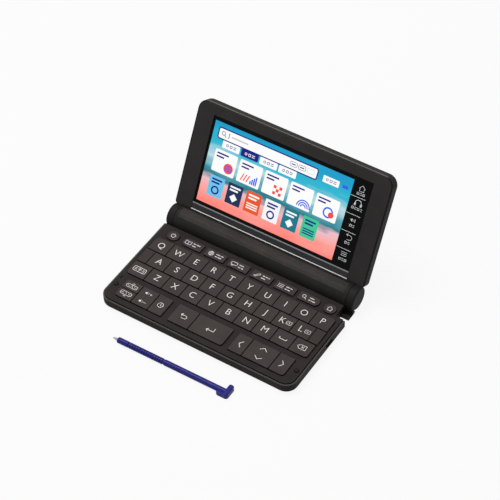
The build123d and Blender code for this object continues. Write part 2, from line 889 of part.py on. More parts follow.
os.makedirs("parts", exist_ok=True)
write("lower_case", lower_case())
write("keyboard_deck", keyboard_deck())
write("main_board", main_board())
write("key_mat", key_mat())
write("battery_barrel", battery_barrel())
write("battery_door", battery_door())
write("aa_cells", aa_cells())
write("hinge_shafts", hinge_shafts())
write("case_screws", case_screws())
write("rubber_feet", rubber_feet())
write("lid_back_cover", lid_back_cover())
write("lid_front_bezel", lid_front_bezel())
write("display_panel", display_panel())
write("stylus", stylus())
for key in all_keys:
    write(key.name, key_cap(key))
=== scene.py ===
import bpy
import math
from mathutils import Matrix, Vector


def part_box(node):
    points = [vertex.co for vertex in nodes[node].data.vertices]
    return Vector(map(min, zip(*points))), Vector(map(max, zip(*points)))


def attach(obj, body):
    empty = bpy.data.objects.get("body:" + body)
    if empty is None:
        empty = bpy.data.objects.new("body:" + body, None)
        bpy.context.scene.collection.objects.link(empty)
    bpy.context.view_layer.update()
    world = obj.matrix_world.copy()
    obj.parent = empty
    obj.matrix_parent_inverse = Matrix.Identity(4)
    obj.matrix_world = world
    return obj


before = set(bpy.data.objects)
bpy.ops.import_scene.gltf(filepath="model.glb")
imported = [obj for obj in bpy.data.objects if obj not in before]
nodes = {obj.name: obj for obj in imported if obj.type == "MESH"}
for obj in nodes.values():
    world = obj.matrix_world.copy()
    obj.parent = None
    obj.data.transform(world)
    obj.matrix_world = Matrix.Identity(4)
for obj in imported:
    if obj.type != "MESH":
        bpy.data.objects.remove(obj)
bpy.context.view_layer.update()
mm = 0.001


# ---- Camera, floor and studio light ----
# The dictionary stands on a white table and is seen from the front right, from above.
# A wide soft lamp hangs over it, and a weaker one fills the front.

bpy.ops.object.select_all(action="DESELECT")
bpy.ops.object.camera_add(
    location=(469.6 * mm, -665.3 * mm, 937.6 * mm),
    rotation=(math.radians(42.513), math.radians(1.354), math.radians(32.844)),
)
camera = bpy.context.object
camera.data.lens = 136.29
camera.data.sensor_width = 36
camera.data.clip_start = 0.01
bpy.context.scene.camera = camera
bpy.context.scene.view_settings.view_transform = "Standard"


def soft_lamp(name, place, aim, size, power):
    """A square lamp that faces the point aim."""
    bpy.ops.object.light_add(type="AREA", location=place)
    lamp = bpy.context.object
    lamp.name = name
    lamp.data.size = size
    lamp.data.energy = power
    lamp.rotation_euler = (Vector(aim) - Vector(place)).to_track_quat("-Z", "Y").to_euler()


soft_lamp("overhead_lamp", (-0.4, 0.1, 1.15), (0, 0.02, 0.02), 0.6, 10.0)
soft_lamp("front_lamp", (-0.1, -1.1, 0.9), (0, 0, 0.03), 0.8, 3.0)


def seen_directly(tree):
    """One for a ray from the eye, also a mirrored or passed on one, and nought for other light."""
    rays = tree.nodes.new("ShaderNodeLightPath")
    total = rays.outputs["Is Camera Ray"]
    for kind in ("Is Glossy Ray", "Is Transmission Ray"):
        both = tree.nodes.new("ShaderNodeMath")
        both.operation = "MAXIMUM"
        tree.links.new(total, both.inputs[0])
        tree.links.new(rays.outputs[kind], both.inputs[1])
        total = both.outputs["Value"]
    return total


room_light = 0.3
white_seen = 1.0
world = bpy.data.worlds.new("white_room")
bpy.context.scene.world = world
world.use_nodes = True
links = world.node_tree.links
room = world.node_tree.nodes["Background"]
room.inputs["Color"].default_value = (1, 1, 1, 1)
strength = world.node_tree.nodes.new("ShaderNodeMapRange")
strength.inputs["To Min"].default_value = room_light
strength.inputs["To Max"].default_value = white_seen
links.new(seen_directly(world.node_tree), strength.inputs["Value"])
links.new(strength.outputs["Result"], room.inputs["Strength"])

floor_size = 8
floor_gap = 0.05
floor_grey = 0.7
floor_glow = 0.9
bpy.ops.mesh.primitive_plane_add(size=floor_size, location=(0, 0, -floor_gap * mm))
floor = bpy.context.object
floor.name = "white_table"
white = bpy.data.materials.new("white_table")
white.use_nodes = True
links = white.node_tree.links
matt = white.node_tree.nodes["Principled BSDF"]
matt.inputs["Base Color"].default_value = (floor_grey, floor_grey, floor_grey, 1)
matt.inputs["Roughness"].default_value = 0.9
glow = white.node_tree.nodes.new("ShaderNodeEmission")
glow.inputs["Color"].default_value = (1, 1, 1, 1)
blend = white.node_tree.nodes.new("ShaderNodeMixShader")
share = white.node_tree.nodes.new("ShaderNodeMapRange")
share.inputs["To Min"].default_value = 0.0
share.inputs["To Max"].default_value = floor_glow
links.new(seen_directly(white.node_tree), share.inputs["Value"])
links.new(share.outputs["Result"], blend.inputs["Fac"])
links.new(matt.outputs["BSDF"], blend.inputs[1])
links.new(glow.outputs["Emission"], blend.inputs[2])
links.new(blend.outputs["Shader"], white.node_tree.nodes["Material Output"].inputs["Surface"])
floor.data.materials.append(white)


# ---- Lower case, battery barrel and door, and the lid's back cover ----
# Injection-moulded ABS in a warm black, with a fine spark-eroded grain on every outer face.
# The barrel is screwed to the case, and the lid's round caps turn about its two ends.

def linear(*levels):
    """A colour given as screen levels from 0 to 255."""
    parts = [level / 255 for level in levels]
    return tuple(p / 12.92 if p <= 0.04045 else ((p + 0.055) / 1.055) ** 2.4 for p in parts) + (1,)


def bare_material(name):
    """A new material, with its node tree, its shader and a place to read coordinates from."""
    material = bpy.data.materials.new(name)
    material.use_nodes = True
    tree = material.node_tree
    return material, tree, tree.nodes["Principled BSDF"], tree.nodes.new("ShaderNodeTexCoord")


def grained_plastic(name, dark, light, roughness, grain=0.28, height=0.012, index=1.3):
    """Moulded plastic: a cloudy mix of two close shades, an eroded grain and uneven sheen."""
    plastic, tree, shader, place = bare_material(name)
    clouds = tree.nodes.new("ShaderNodeTexNoise")
    clouds.inputs["Scale"].default_value = 90
    clouds.inputs["Detail"].default_value = 4
    shades = tree.nodes.new("ShaderNodeValToRGB")
    shades.color_ramp.elements[0].position = 0.35
    shades.color_ramp.elements[0].color = dark
    shades.color_ramp.elements[1].position = 0.65
    shades.color_ramp.elements[1].color = light
    pits = tree.nodes.new("ShaderNodeTexNoise")
    pits.inputs["Scale"].default_value = 1 / (grain * mm)
    pits.inputs["Detail"].default_value = 3
    sheen = tree.nodes.new("ShaderNodeMapRange")
    sheen.inputs["From Min"].default_value = 0.3
    sheen.inputs["From Max"].default_value = 0.7
    sheen.inputs["To Min"].default_value = roughness - 0.06
    sheen.inputs["To Max"].default_value = roughness + 0.06
    relief = tree.nodes.new("ShaderNodeBump")
    relief.inputs["Strength"].default_value = 0.6
    relief.inputs["Distance"].default_value = height * mm
    for noise in (clouds, pits):
        tree.links.new(place.outputs["Object"], noise.inputs["Vector"])
    tree.links.new(clouds.outputs["Fac"], shades.inputs["Fac"])
    tree.links.new(shades.outputs["Color"], shader.inputs["Base Color"])
    tree.links.new(pits.outputs["Fac"], sheen.inputs["Value"])
    tree.links.new(sheen.outputs["Result"], shader.inputs["Roughness"])
    tree.links.new(pits.outputs["Fac"], relief.inputs["Height"])
    tree.links.new(relief.outputs["Normal"], shader.inputs["Normal"])
    shader.inputs["IOR"].default_value = index
    return plastic


def change_beyond(material, direction, limit, colour, metallic=0.0):
    """Give a material another colour, and metal if it is so, past a plane; limit is in mm."""
    tree = material.node_tree
    shader = tree.nodes["Principled BSDF"]
    place = tree.nodes.new("ShaderNodeTexCoord")
    reach = tree.nodes.new("ShaderNodeVectorMath")
    reach.operation = "DOT_PRODUCT"
    reach.inputs[1].default_value = direction
    test = tree.nodes.new("ShaderNodeMath")
    test.operation = "GREATER_THAN"
    test.inputs[1].default_value = limit * mm
    tone = tree.nodes.new("ShaderNodeMix")
    tone.data_type = "RGBA"
    tone.inputs["B"].default_value = colour
    tree.links.new(place.outputs["Object"], reach.inputs[0])
    tree.links.new(reach.outputs["Value"], test.inputs[0])
    tree.links.new(test.outputs["Value"], tone.inputs["Factor"])
    tree.links.new(shader.inputs["Base Color"].links[0].from_socket, tone.inputs["A"])
    tree.links.new(tone.outputs["Result"], shader.inputs["Base Color"])
    if metallic:
        tree.links.new(test.outputs["Value"], shader.inputs["Metallic"])
    return material


def coat_node(node, material):
    """Give a carried-over CAD node its finish."""
    slots = nodes[node].material_slots
    for slot in slots:
        slot.material = material
    if not slots:
        nodes[node].data.materials.append(material)


up = (0, 0, 1)
down = (0, 0, -1)
barrel_black = grained_plastic(
    "barrel_black", linear(32, 30, 29), linear(36, 33, 32), 0.6, index=1.2
)
coat_node("battery_barrel", barrel_black)
coat_node("battery_door", barrel_black)

# painted highlight: the rim's top round the deck is painted lighter than the walls below it
rim_level = 7.12
case_black = grained_plastic("case_black", linear(22, 20, 19), linear(26, 23, 22), 0.6, index=1.2)
coat_node("lower_case", change_beyond(case_black, up, rim_level, linear(74, 71, 68)))

# painted highlight: a narrow band along the lid's far edge is painted lighter
painted_highlight_band = 0.28
lid_turn = math.radians(61.5)
edge_way = Vector((0, -math.sin(lid_turn - math.pi / 4), math.cos(lid_turn - math.pi / 4)))
lid_points = nodes["lid_back_cover"].data.vertices
lid_edge = max(point.co.dot(edge_way) for point in lid_points) / mm
lid_black = grained_plastic("lid_black", linear(27, 25, 25), linear(31, 28, 28), 0.6, index=1.2)
change_beyond(lid_black, edge_way, lid_edge - painted_highlight_band, linear(100, 97, 94))
coat_node("lid_back_cover", lid_black)


# ---- Ribs on the battery barrel ----
# Fine ribs run along the barrel's upper front, where a thumb steadies it.
# They are moulded in one with the barrel, and the round lid caps at its ends stay smooth.

def hold(piece):
    """Select one piece and nothing else."""
    bpy.ops.object.select_all(action="DESELECT")
    piece.select_set(True)
    bpy.context.view_layer.objects.active = piece


def joined(pieces, name):
    """Make one piece of several."""
    bpy.ops.object.select_all(action="DESELECT")
    for piece in pieces:
        piece.select_set(True)
    bpy.context.view_layer.objects.active = pieces[0]
    if len(pieces) > 1:
        bpy.ops.object.join()
    whole = bpy.context.object
    whole.name = name
    whole.data.name = name
    return whole


def settle(piece, place):
    """Put a piece drawn in millimetres where it belongs, with its place in its mesh."""
    hold(piece)
    piece.matrix_world = place @ Matrix.Scale(mm, 4)
    bpy.ops.object.transform_apply(location=True, rotation=True, scale=True)


def finish(piece, material, body):
    """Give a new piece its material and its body."""
    piece.data.materials.clear()
    piece.data.materials.append(material)
    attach(piece, body)


hinge_y = 38.4
hinge_z = 9.6
barrel_radius = 8.35
rib_count = 12
rib_first = 37
rib_step = 4.6
rib_height = 0.16
rib_half_width = 0.2
rib_half_length = 65.0
rib_round = 0.12

ribs = []
for place in range(rib_count):
    bpy.ops.mesh.primitive_cube_add(size=2)
    rib = bpy.context.object
    rib.scale = (rib_half_length, rib_half_width, rib_height)
    bpy.ops.object.transform_apply(scale=True)
    bpy.ops.object.mode_set(mode="EDIT")
    bpy.ops.mesh.select_all(action="SELECT")
    bpy.ops.mesh.bevel(offset=rib_round, segments=2)
    bpy.ops.object.mode_set(mode="OBJECT")
    angle = math.radians(rib_first - place * rib_step)
    rib.rotation_euler.x = angle
    rib.location = (0, -barrel_radius * math.sin(angle), barrel_radius * math.cos(angle))
    ribs.append(rib)
barrel_ribs = joined(ribs, "barrel_ribs")
hold(barrel_ribs)
bpy.ops.object.transform_apply(location=True, rotation=True, scale=True)
settle(barrel_ribs, Matrix.Translation((0, hinge_y * mm, hinge_z * mm)))
# painted highlight: the ribs are coloured lighter than the barrel, for the light on its upper front
rib_lit_black = grained_plastic("rib_lit_black", linear(46, 42, 40), linear(58, 53, 49), 0.45)
finish(barrel_ribs, rib_lit_black, "base")


# ---- Keyboard deck ----
# The plate between the keys, moulded in a slightly browner and matter black and screwed to the
# case. Its walls below the top are painted darker as shade, and its two bumps are darker. The
# tops of its two blank plates, which fill the ends of the middle letter row, are grey like the
# caps.

deck_black = grained_plastic(
    "deck_black", linear(44, 39, 38), linear(49, 44, 43), 0.6, height=0.016, index=1.15
)
deck_edge = 8.0
bump_level = 8.25
plate_level = 9.08
change_beyond(deck_black, up, bump_level, linear(6, 5, 5))
change_beyond(deck_black, up, plate_level, linear(62, 55, 54))
# painted shade: the deck's walls below its top are darkened
change_beyond(deck_black, down, -deck_edge, linear(4, 4, 4))
coat_node("keyboard_deck", deck_black)


# ---- Key caps ----
# Each cap is moulded in dark grey plastic with a fine satin grain, and has softly rounded edges.
# Its skirt, which slides in the deck's opening, is painted darker as shade. The rubber mat holds it
# up.

key_grey = grained_plastic(
    "key_grey", linear(58, 51, 50), linear(63, 56, 55), 0.5, grain=0.22, index=1.2
)
cap_edge = 9.08
# painted shade: the cap below its top is darkened
change_beyond(key_grey, down, -cap_edge, linear(6, 5, 5))
key_nodes = [name for name in nodes if name.startswith("key_") and name != "key_mat"]
for name in key_nodes:
    coat_node(name, key_grey)


# ---- Legends on the key caps ----
# Off-white legends are screen printed on the caps: thin capitals on the letter keys, and plain
# pictograms on the others. Signs are drawn in millimetres about the middle of their cap.

ink_depth = 0.03
ink_sunk = 0.02
capital_height = 5.0


def speckled_paint(name, colour, roughness):
    """Screen ink, slightly uneven in tone as the printing mesh laid it down; also painted highlight
    and shade lines.
    """
    ink, tree, shader, place = bare_material(name)
    speckle = tree.nodes.new("ShaderNodeTexNoise")
    speckle.inputs["Scale"].default_value = 2500
    tone = tree.nodes.new("ShaderNodeMix")
    tone.data_type = "RGBA"
    tone.inputs["A"].default_value = tuple(0.9 * part for part in colour[:3]) + (1,)
    tone.inputs["B"].default_value = colour
    tree.links.new(place.outputs["Object"], speckle.inputs["Vector"])
    tree.links.new(speckle.outputs["Fac"], tone.inputs["Factor"])
    tree.links.new(tone.outputs["Result"], shader.inputs["Base Color"])
    shader.inputs["Roughness"].default_value = roughness
    return ink


def thicken(low, high):
    """Raise the flat shape being edited into a closed one between two levels."""
    bpy.ops.mesh.select_all(action="SELECT")
    bpy.ops.transform.translate(value=(0, 0, low))
    bpy.ops.mesh.extrude_region_move(TRANSFORM_OT_translate={"value": (0, 0, high - low)})
    bpy.ops.mesh.select_all(action="SELECT")
    bpy.ops.mesh.normals_make_consistent(inside=False)
    bpy.ops.object.mode_set(mode="OBJECT")
    return bpy.context.object


def flat_plate(x, y, width, height, corner=0.0, turn=0.0, low=-ink_sunk, high=ink_depth):
    """A thin plate with rounded corners; a corner of half the width makes its ends round."""
    bpy.ops.mesh.primitive_plane_add(
        size=1, location=(x, y, 0), rotation=(0, 0, math.radians(turn))
    )
    piece = bpy.context.object
    piece.scale = (width, height, 1)
    bpy.ops.object.transform_apply(location=True, rotation=True, scale=True)
    bpy.ops.object.mode_set(mode="EDIT")
    bpy.ops.mesh.select_all(action="SELECT")
    if corner:
        bpy.ops.mesh.bevel(offset=corner * 0.98, segments=4, affect="VERTICES")
    return thicken(low, high)


def flat_ring(x, y, outer, inner=0.0, start=0, sweep=360, sides=40, low=-ink_sunk, high=ink_depth):
    """A thin disc, ring or arc; start and sweep are in degrees, counted anticlockwise from +X."""
    bpy.ops.mesh.primitive_circle_add(
        vertices=sides, radius=outer, fill_type="NGON", location=(x, y, 0)
    )
    bpy.ops.object.transform_apply(location=True)
    bpy.ops.object.mode_set(mode="EDIT")
    bpy.ops.mesh.select_all(action="SELECT")
    if inner:
        bpy.ops.mesh.inset(thickness=(outer - inner) * math.cos(math.pi / sides))
        bpy.ops.mesh.delete(type="FACE")
    if sweep < 360:
        bpy.ops.mesh.select_all(action="DESELECT")
        bpy.ops.object.mode_set(mode="OBJECT")
        for face in bpy.context.object.data.polygons:
            angle = math.degrees(math.atan2(face.center.y - y, face.center.x - x))
            face.select = (angle - start) % 360 > sweep
        bpy.ops.object.mode_set(mode="EDIT")
        bpy.ops.mesh.delete(type="FACE")
    return thicken(low, high)


def flat_bar(start, end, width, **levels):
    """A straight stroke with round ends between two points."""
    (x1, y1), (x2, y2) = start, end
    length = math.hypot(x2 - x1, y2 - y1) + width
    turn = math.degrees(math.atan2(y2 - y1, x2 - x1))
    return flat_plate((x1 + x2) / 2, (y1 + y2) / 2, length, width, width / 2, turn, **levels)


def flat_frame(x, y, width, height, line, corner, low=-ink_sunk, high=ink_depth):
    """The outline of a plate, line wide."""
    bpy.ops.mesh.primitive_plane_add(size=1, location=(x, y, 0))
    piece = bpy.context.object
    piece.scale = (width, height, 1)
    bpy.ops.object.transform_apply(location=True, rotation=True, scale=True)
    bpy.ops.object.mode_set(mode="EDIT")
    bpy.ops.mesh.select_all(action="SELECT")
    bpy.ops.mesh.bevel(offset=corner, segments=4, affect="VERTICES")
    bpy.ops.mesh.inset(thickness=line)
    bpy.ops.mesh.delete(type="FACE")
    return thicken(low, high)


capital_share = 0.73


def capital(letter, x, y, height, weight=-0.08):
    """A printed capital, centred on a point; its height is a share of the type's size."""
    bpy.ops.object.text_add(location=(0, 0, 0))
    text = bpy.context.object
    text.data.body = letter
    text.data.size = height / capital_share
    text.data.align_x = "CENTER"
    text.data.align_y = "CENTER"
    text.data.offset = weight
    text.data.extrude = (ink_depth + ink_sunk) / 2
    text.data.resolution_u = 4
    bpy.ops.object.convert(target="MESH")
    text = bpy.context.object
    text.location = (x, y, (ink_depth - ink_sunk) / 2)
    bpy.ops.object.transform_apply(location=True)
    return text


line = 0.38
thin = 0.3
hair = 0.002


def strokes(points, width, first=1):
    """Straight strokes that join points one after another, each a hair thicker than the last."""
    bars = []
    for count, (start, end) in enumerate(zip(points, points[1:]), first):
        more = hair * count
        bars.append(flat_bar(start, end, width, low=-ink_sunk - more, high=ink_depth + more))
    return bars


def shift_mark():
    arrow = strokes([(-1.1, 0), (0, 1.1), (1.1, 0)], line) + [flat_bar((0, -1.2), (0, 1.0), line)]
    sides = [flat_bar((x, y), (x + 1.3, y), line) for x in (-3.5, 2.2) for y in (-0.6, 0.6)]
    return [flat_frame(0, 0, 9.6, 4.2, line, 1.1)] + arrow + sides


def space_mark():
    return strokes([(-2.6, 0.4), (-2.6, -0.9), (2.6, -0.9), (2.6, 0.4)], line)


def delete_mark():
    edge = strokes([(-3.2, 0), (-1.5, 1.7), (3.0, 1.7), (3.0, -1.7), (-1.5, -1.7), (-3.2, 0)], thin)
    cross = [flat_bar((-0.2, 0.8), (1.4, -0.8), thin), flat_bar((-0.2, -0.8), (1.4, 0.8), thin)]
    return edge + cross


def history_mark():
    hands = strokes([(0, 1.2), (0, 0), (0.9, -0.6)], thin)
    return [flat_ring(0, 0, 2.1, 1.75)] + hands


def back_mark():
    arc = flat_ring(1.2, -0.4, 1.5, 1.1, start=-90, sweep=180)
    shaft = [flat_bar((-2.2, 0.9), (1.2, 0.9), line), flat_bar((-0.8, -1.7), (1.2, -1.7), line)]
    return [arc] + shaft + strokes([(-1.1, 2.0), (-2.2, 0.9), (-1.1, -0.2)], line)


def enter_mark():
    head = strokes([(-1.6, 0.2), (-2.8, -1.0), (-1.6, -2.2)], line)
    return strokes([(2.6, 1.6), (2.6, -1.0), (-2.6, -1.0)], line) + head


def power_mark():
    return [flat_ring(0, 0, 1.7, 1.33, start=120, sweep=300), flat_bar((0, 0.6), (0, 1.9), line)]


def house_mark(size=1.75):
    roof = strokes([(-size, 0), (0, size), (size, 0)], thin)
    walls = [(-0.75 * size, 0), (-0.75 * size, -size), (0.75 * size, -size), (0.75 * size, 0)]
    return roof + strokes(walls, thin)


def chevron(direction):
    """An open arrow head that points along +X, turned by direction in degrees."""
    turn = Matrix.Rotation(math.radians(direction), 2)
    points = [turn @ Vector(point) for point in ((-1.0, 2.5), (1.0, 0), (-1.0, -2.5))]
    return strokes([tuple(point) for point in points], line)


def moved(pieces, x, y):
    """Shift the parts of a sign."""
    for piece in pieces:
        hold(piece)
        piece.location = (x, y, 0)
        bpy.ops.object.transform_apply(location=True)
    return pieces


def speaker_mark():
    cone = [flat_plate(-1.9, 0, 0.9, 1.1, 0.1), flat_plate(-1.2, 0, 0.5, 2.0, 0.2)]
    return cone + [flat_ring(-0.9, 0, 1.2, 0.95, start=-40, sweep=80, sides=36)]


def volume_mark():
    louder = speaker_mark() + [flat_bar((1.2, 0), (2.8, 0), thin)]
    louder.append(flat_bar((2.0, -0.8), (2.0, 0.8), thin))
    softer = speaker_mark() + [flat_bar((1.2, 0), (2.8, 0), thin)]
    return moved(louder, 0, 3.9) + moved(softer, 0, -3.9)


def size_mark(letter_height, up):
    side = 1 if up else -1
    pill = flat_frame(0, -0.6 * side, 8.6, 3.0, thin, 1.2)
    bars = [flat_bar((x, -0.6 * side), (x + 1.3, -0.6 * side), thin) for x in (-3.2, 1.9)]
    tip = strokes([(-1.0, 1.45 * side), (0, 2.05 * side), (1.0, 1.45 * side)], thin)
    return [pill, capital("A", 0, -0.6 * side, letter_height, weight=-0.03)] + bars + tip


def book_mark():
    left = [(0, -1.5), (-2.2, -1.1), (-2.2, 1.5), (0, 1.1), (0, -1.5)]
    return strokes(left, thin) + strokes([(-x, y) for x, y in left], thin, first=5)


def globe_mark():
    globe = [flat_ring(0, 0, 1.9, 1.6)]
    globe += [flat_bar((-1.7, 0), (1.7, 0), 0.25), flat_bar((0, -1.7), (0, 1.7), 0.25)]
    return globe + [flat_ring(-1.9, 0, 2.75, 2.5, -36, 72), flat_ring(1.9, 0, 2.75, 2.5, 144, 72)]


def pencil_mark():
    body = strokes([(-1.3, -1.9), (1.5, 0.9), (2.2, 0.2), (-0.6, -2.6), (-1.3, -1.9)], thin)
    return moved(body + [flat_bar((-1.9, -2.5), (-1.3, -1.9), thin)], -0.2, 0.8)


def list_mark():
    rows = []
    for y in (1.3, 0, -1.3):
        rows += [flat_ring(-1.9, y, 0.3, sides=16), flat_bar((-1.0, y), (2.0, y), thin)]
    return rows


def bubble_mark():
    tail = strokes([(-0.9, -0.9), (-1.3, -1.9), (0.1, -1.0)], thin)
    return [flat_frame(0, 0.4, 4.8, 2.8, thin, 1.0)] + tail


def lens_mark(x=0.0, y=0.0, size=1.0, **levels):
    ring = flat_ring(x, y, 1.35 * size, 1.0 * size, **levels)
    near, far = 0.95 * size, 2.0 * size
    grip = flat_bar((x + near, y - near), (x + far, y - far), 0.4 * size, **levels)
    return [ring, grip]


def captioned(sign, upper, lower):
    """A sign on the left of a wide key, and two rows of short strokes on its right."""
    row_rise, row_start, stroke_width, stroke_gap, sign_shift = 1.05, 0.2, 0.55, 1.0, -3.6
    rows = []
    for y, lengths in ((row_rise, upper), (-row_rise, lower)):
        x = row_start
        for length in lengths:
            rows.append(flat_bar((x, y), (x + length, y), stroke_width))
            x += length + stroke_gap
    return moved(sign, sign_shift, 0) + rows


def boxed_mark(up):
    side = 1 if up else -1
    tip = strokes([(-0.9, -0.45 * side), (0, 0.45 * side), (0.9, -0.45 * side)], 0.28)
    return moved([flat_frame(0, 0, 4.0, 2.9, 0.26, 0.7)] + tip, 3.5, 0)


legend_white = speckled_paint("legend_white", linear(238, 236, 231), 0.55)
marks = {
    "key_shift": shift_mark,
    "key_space": space_mark,
    "key_delete": delete_mark,
    "key_history": history_mark,
    "key_back": back_mark,
    "key_enter": enter_mark,
    "key_power": power_mark,
    "key_home": house_mark,
    "key_left": lambda: chevron(180),
    "key_right": lambda: chevron(0),
    "key_up_down": lambda: moved(chevron(90), 0, 4.0) + moved(chevron(-90), 0, -4.0),
    "key_volume": volume_mark,
    "key_size_up": lambda: size_mark(2.0, True),
    "key_size_down": lambda: size_mark(1.5, False),
    "key_function_1": lambda: captioned(book_mark(), (1.2, 2.6), (2.2,)),
    "key_function_2": lambda: captioned(globe_mark(), (2.6, 1.4), (1.2, 2.2)),
    "key_function_3": lambda: captioned(bubble_mark(), (3.0,), (1.4, 1.2)),
    "key_function_4": lambda: captioned(pencil_mark(), (1.2, 1.2, 0.8), (2.6,)),
    "key_function_5": lambda: captioned(list_mark(), (2.2, 1.2), (1.2, 1.2)),
    "key_function_6": lambda: captioned(lens_mark(-0.4, 0.4), (2.8,), (1.2, 2.2)),
    "key_k": lambda: [capital("K", -1.6, 0, capital_height)] + boxed_mark(True),
    "key_l": lambda: [capital("L", -1.6, 0, capital_height)] + boxed_mark(False),
}
for name in key_nodes:
    low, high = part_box(name)
    middle = (low + high) / 2
    if name in marks:
        legend = joined(marks[name](), name.replace("key_", "legend_"))
    else:
        letter = capital(name[-1].upper(), 0, 0, capital_height)
        legend = joined([letter], name.replace("key_", "legend_"))
    settle(legend, Matrix.Translation((middle.x, middle.y, high.z)))
    finish(legend, legend_white, name.replace("key_", "cap_"))

# painted shade: a dark line across each rocker's middle, where it tips, stands in for the shade in
# its groove
painted_groove_shade = speckled_paint("painted_groove_shade", linear(12, 10, 10), 0.7)
divider_margin = 0.5
divider_width = 0.3
divider_sunk = 0.1
divider_rise = 0.012
for name in ("key_volume", "key_up_down"):
    low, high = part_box(name)
    middle = (low + high) / 2
    length = (high.x - low.x) / mm - divider_margin
    divider = flat_plate(0, 0, length, divider_width, low=-divider_sunk, high=divider_rise)
    divider.name = name.replace("key_", "divider_")
    settle(divider, Matrix.Translation((middle.x, middle.y, high.z)))
    finish(divider, painted_groove_shade, name.replace("key_", "cap_"))


# ---- Lid cushions ----
# Two small dots of soft black rubber sit on the deck's bumps beside the lowest keys.
# The shut lid comes down on them.

cushion_rubber = grained_plastic(
    "cushion_rubber", linear(8, 8, 8), linear(12, 11, 11), 0.55, index=1.25
)
cushion_x = 69.8
cushion_y = -32.45
cushion_level = 8.7
cushion_radius = 1.3
cushion_depth = 0.3
cushion_rise = 0.05
cushion_round = 0.11
for side, place in ((-1, "left"), (1, "right")):
    bpy.ops.object.select_all(action="DESELECT")
    bpy.ops.mesh.primitive_cylinder_add(
        vertices=40, radius=cushion_radius, depth=cushion_depth, location=(0, 0, cushion_rise)
    )
    bpy.ops.object.mode_set(mode="EDIT")
    bpy.ops.mesh.select_all(action="SELECT")
    bpy.ops.mesh.bevel(offset=cushion_round, segments=3)
    bpy.ops.object.mode_set(mode="OBJECT")
    cushion = bpy.context.object
    cushion.name = "lid_cushion_" + place
    spot = (side * cushion_x * mm, cushion_y * mm, cushion_level * mm)
    settle(cushion, Matrix.Translation(spot))
    finish(cushion, cushion_rubber, "base")


# ---- Circuit board, rubber mat, cells, shafts, screws and feet ----
# These sit inside the case or under it: a green board, a pale silicone mat, two wrapped cells,
# two steel shafts, six plated screws and four black rubber feet.

def brushed_metal(name, colour, roughness):
    """Turned or drawn steel with fine lines along X."""
    metal, tree, shader, place = bare_material(name)
    stretch = tree.nodes.new("ShaderNodeMapping")
    stretch.inputs["Scale"].default_value = (60, 3000, 3000)
    lines = tree.nodes.new("ShaderNodeTexNoise")
    lines.inputs["Scale"].default_value = 1
    sheen = tree.nodes.new("ShaderNodeMapRange")
    sheen.inputs["To Min"].default_value = roughness - 0.1
    sheen.inputs["To Max"].default_value = roughness + 0.1
    tree.links.new(place.outputs["Object"], stretch.inputs["Vector"])
    tree.links.new(stretch.outputs["Vector"], lines.inputs["Vector"])
    tree.links.new(lines.outputs["Fac"], sheen.inputs["Value"])
    tree.links.new(sheen.outputs["Result"], shader.inputs["Roughness"])
    shader.inputs["Base Color"].default_value = colour
    shader.inputs["Metallic"].default_value = 1.0
    return metal


# the steel shell of the charging socket stands above the board's chips
socket_level = 3.35
board_green = grained_plastic(
    "board_green", linear(22, 74, 46), linear(28, 88, 54), 0.35, index=1.5
)
change_beyond(board_green, up, socket_level, linear(190, 190, 192), 1.0)
mat_silicone = grained_plastic(
    "mat_silicone", linear(196, 196, 190), linear(208, 208, 203), 0.7
)
cell_wrap = grained_plastic(
    "cell_wrap", linear(150, 152, 158), linear(166, 168, 172), 0.3, height=0.002
)
foot_rubber = grained_plastic("foot_rubber", linear(28, 28, 28), linear(34, 34, 34), 0.85)
coat_node("main_board", board_green)
coat_node("key_mat", mat_silicone)
coat_node("aa_cells", cell_wrap)
coat_node("hinge_shafts", brushed_metal("shaft_steel", linear(178, 178, 182), 0.32))
coat_node("case_screws", brushed_metal("screw_black", linear(70, 70, 74), 0.38))
coat_node("rubber_feet", foot_rubber)


# ---- Hinge washers ----
# Two thin washers of black nylon turn on the shafts between the barrel and the lid's round caps.
# They keep the mouldings from rubbing, and close the slit between them.

washer_black = grained_plastic("washer_black", linear(18, 18, 18), linear(24, 23, 23), 0.45)
washer_x = 67.625
washer_outer = 7.2
washer_inner = 2.1
washer_half = 0.15
across = Matrix.Rotation(math.radians(90), 4, "Y")
for side, place in ((-1, "left"), (1, "right")):
    washer = flat_ring(0, 0, washer_outer, washer_inner, low=-washer_half, high=washer_half)
    washer.name = washer.data.name = "hinge_washer_" + place
    spot = (side * washer_x * mm, hinge_y * mm, hinge_z * mm)
    settle(washer, Matrix.Translation(spot) @ across)
    finish(washer, washer_black, "base")


# ---- Frame round the display ----
# A matt black moulding held in the lid's back cover. Below the window it carries a recessed
# strip between two painted highlight lines, at the bead and at the window's lower edge.

bezel_black = grained_plastic(
    "bezel_black", linear(41, 38, 38), linear(45, 42, 42), 0.5, height=0.008, index=1.2
)
coat_node("lid_front_bezel", bezel_black)

lid_face = -0.6
on_lid = Matrix.Translation((0, hinge_y * mm, hinge_z * mm)) @ Matrix.Rotation(lid_turn, 4, "X")
window_left = -61.1
window_right = 60.9
window_near = 14.4
window_width = window_right - window_left
window_middle = (window_left + window_right) / 2
bead_near = 9.05
bead_width = 0.6
border_width = 0.8


def highlight_line(name, y, width, low, high, level):
    """A thin painted highlight line across the lid, as long as the window."""
    piece = flat_plate(window_middle, y, window_width, width, 0.1, low=low, high=high)
    piece.name = name
    settle(piece, on_lid)
    finish(piece, speckled_paint(name, linear(level, level, level), 0.25), "lid")


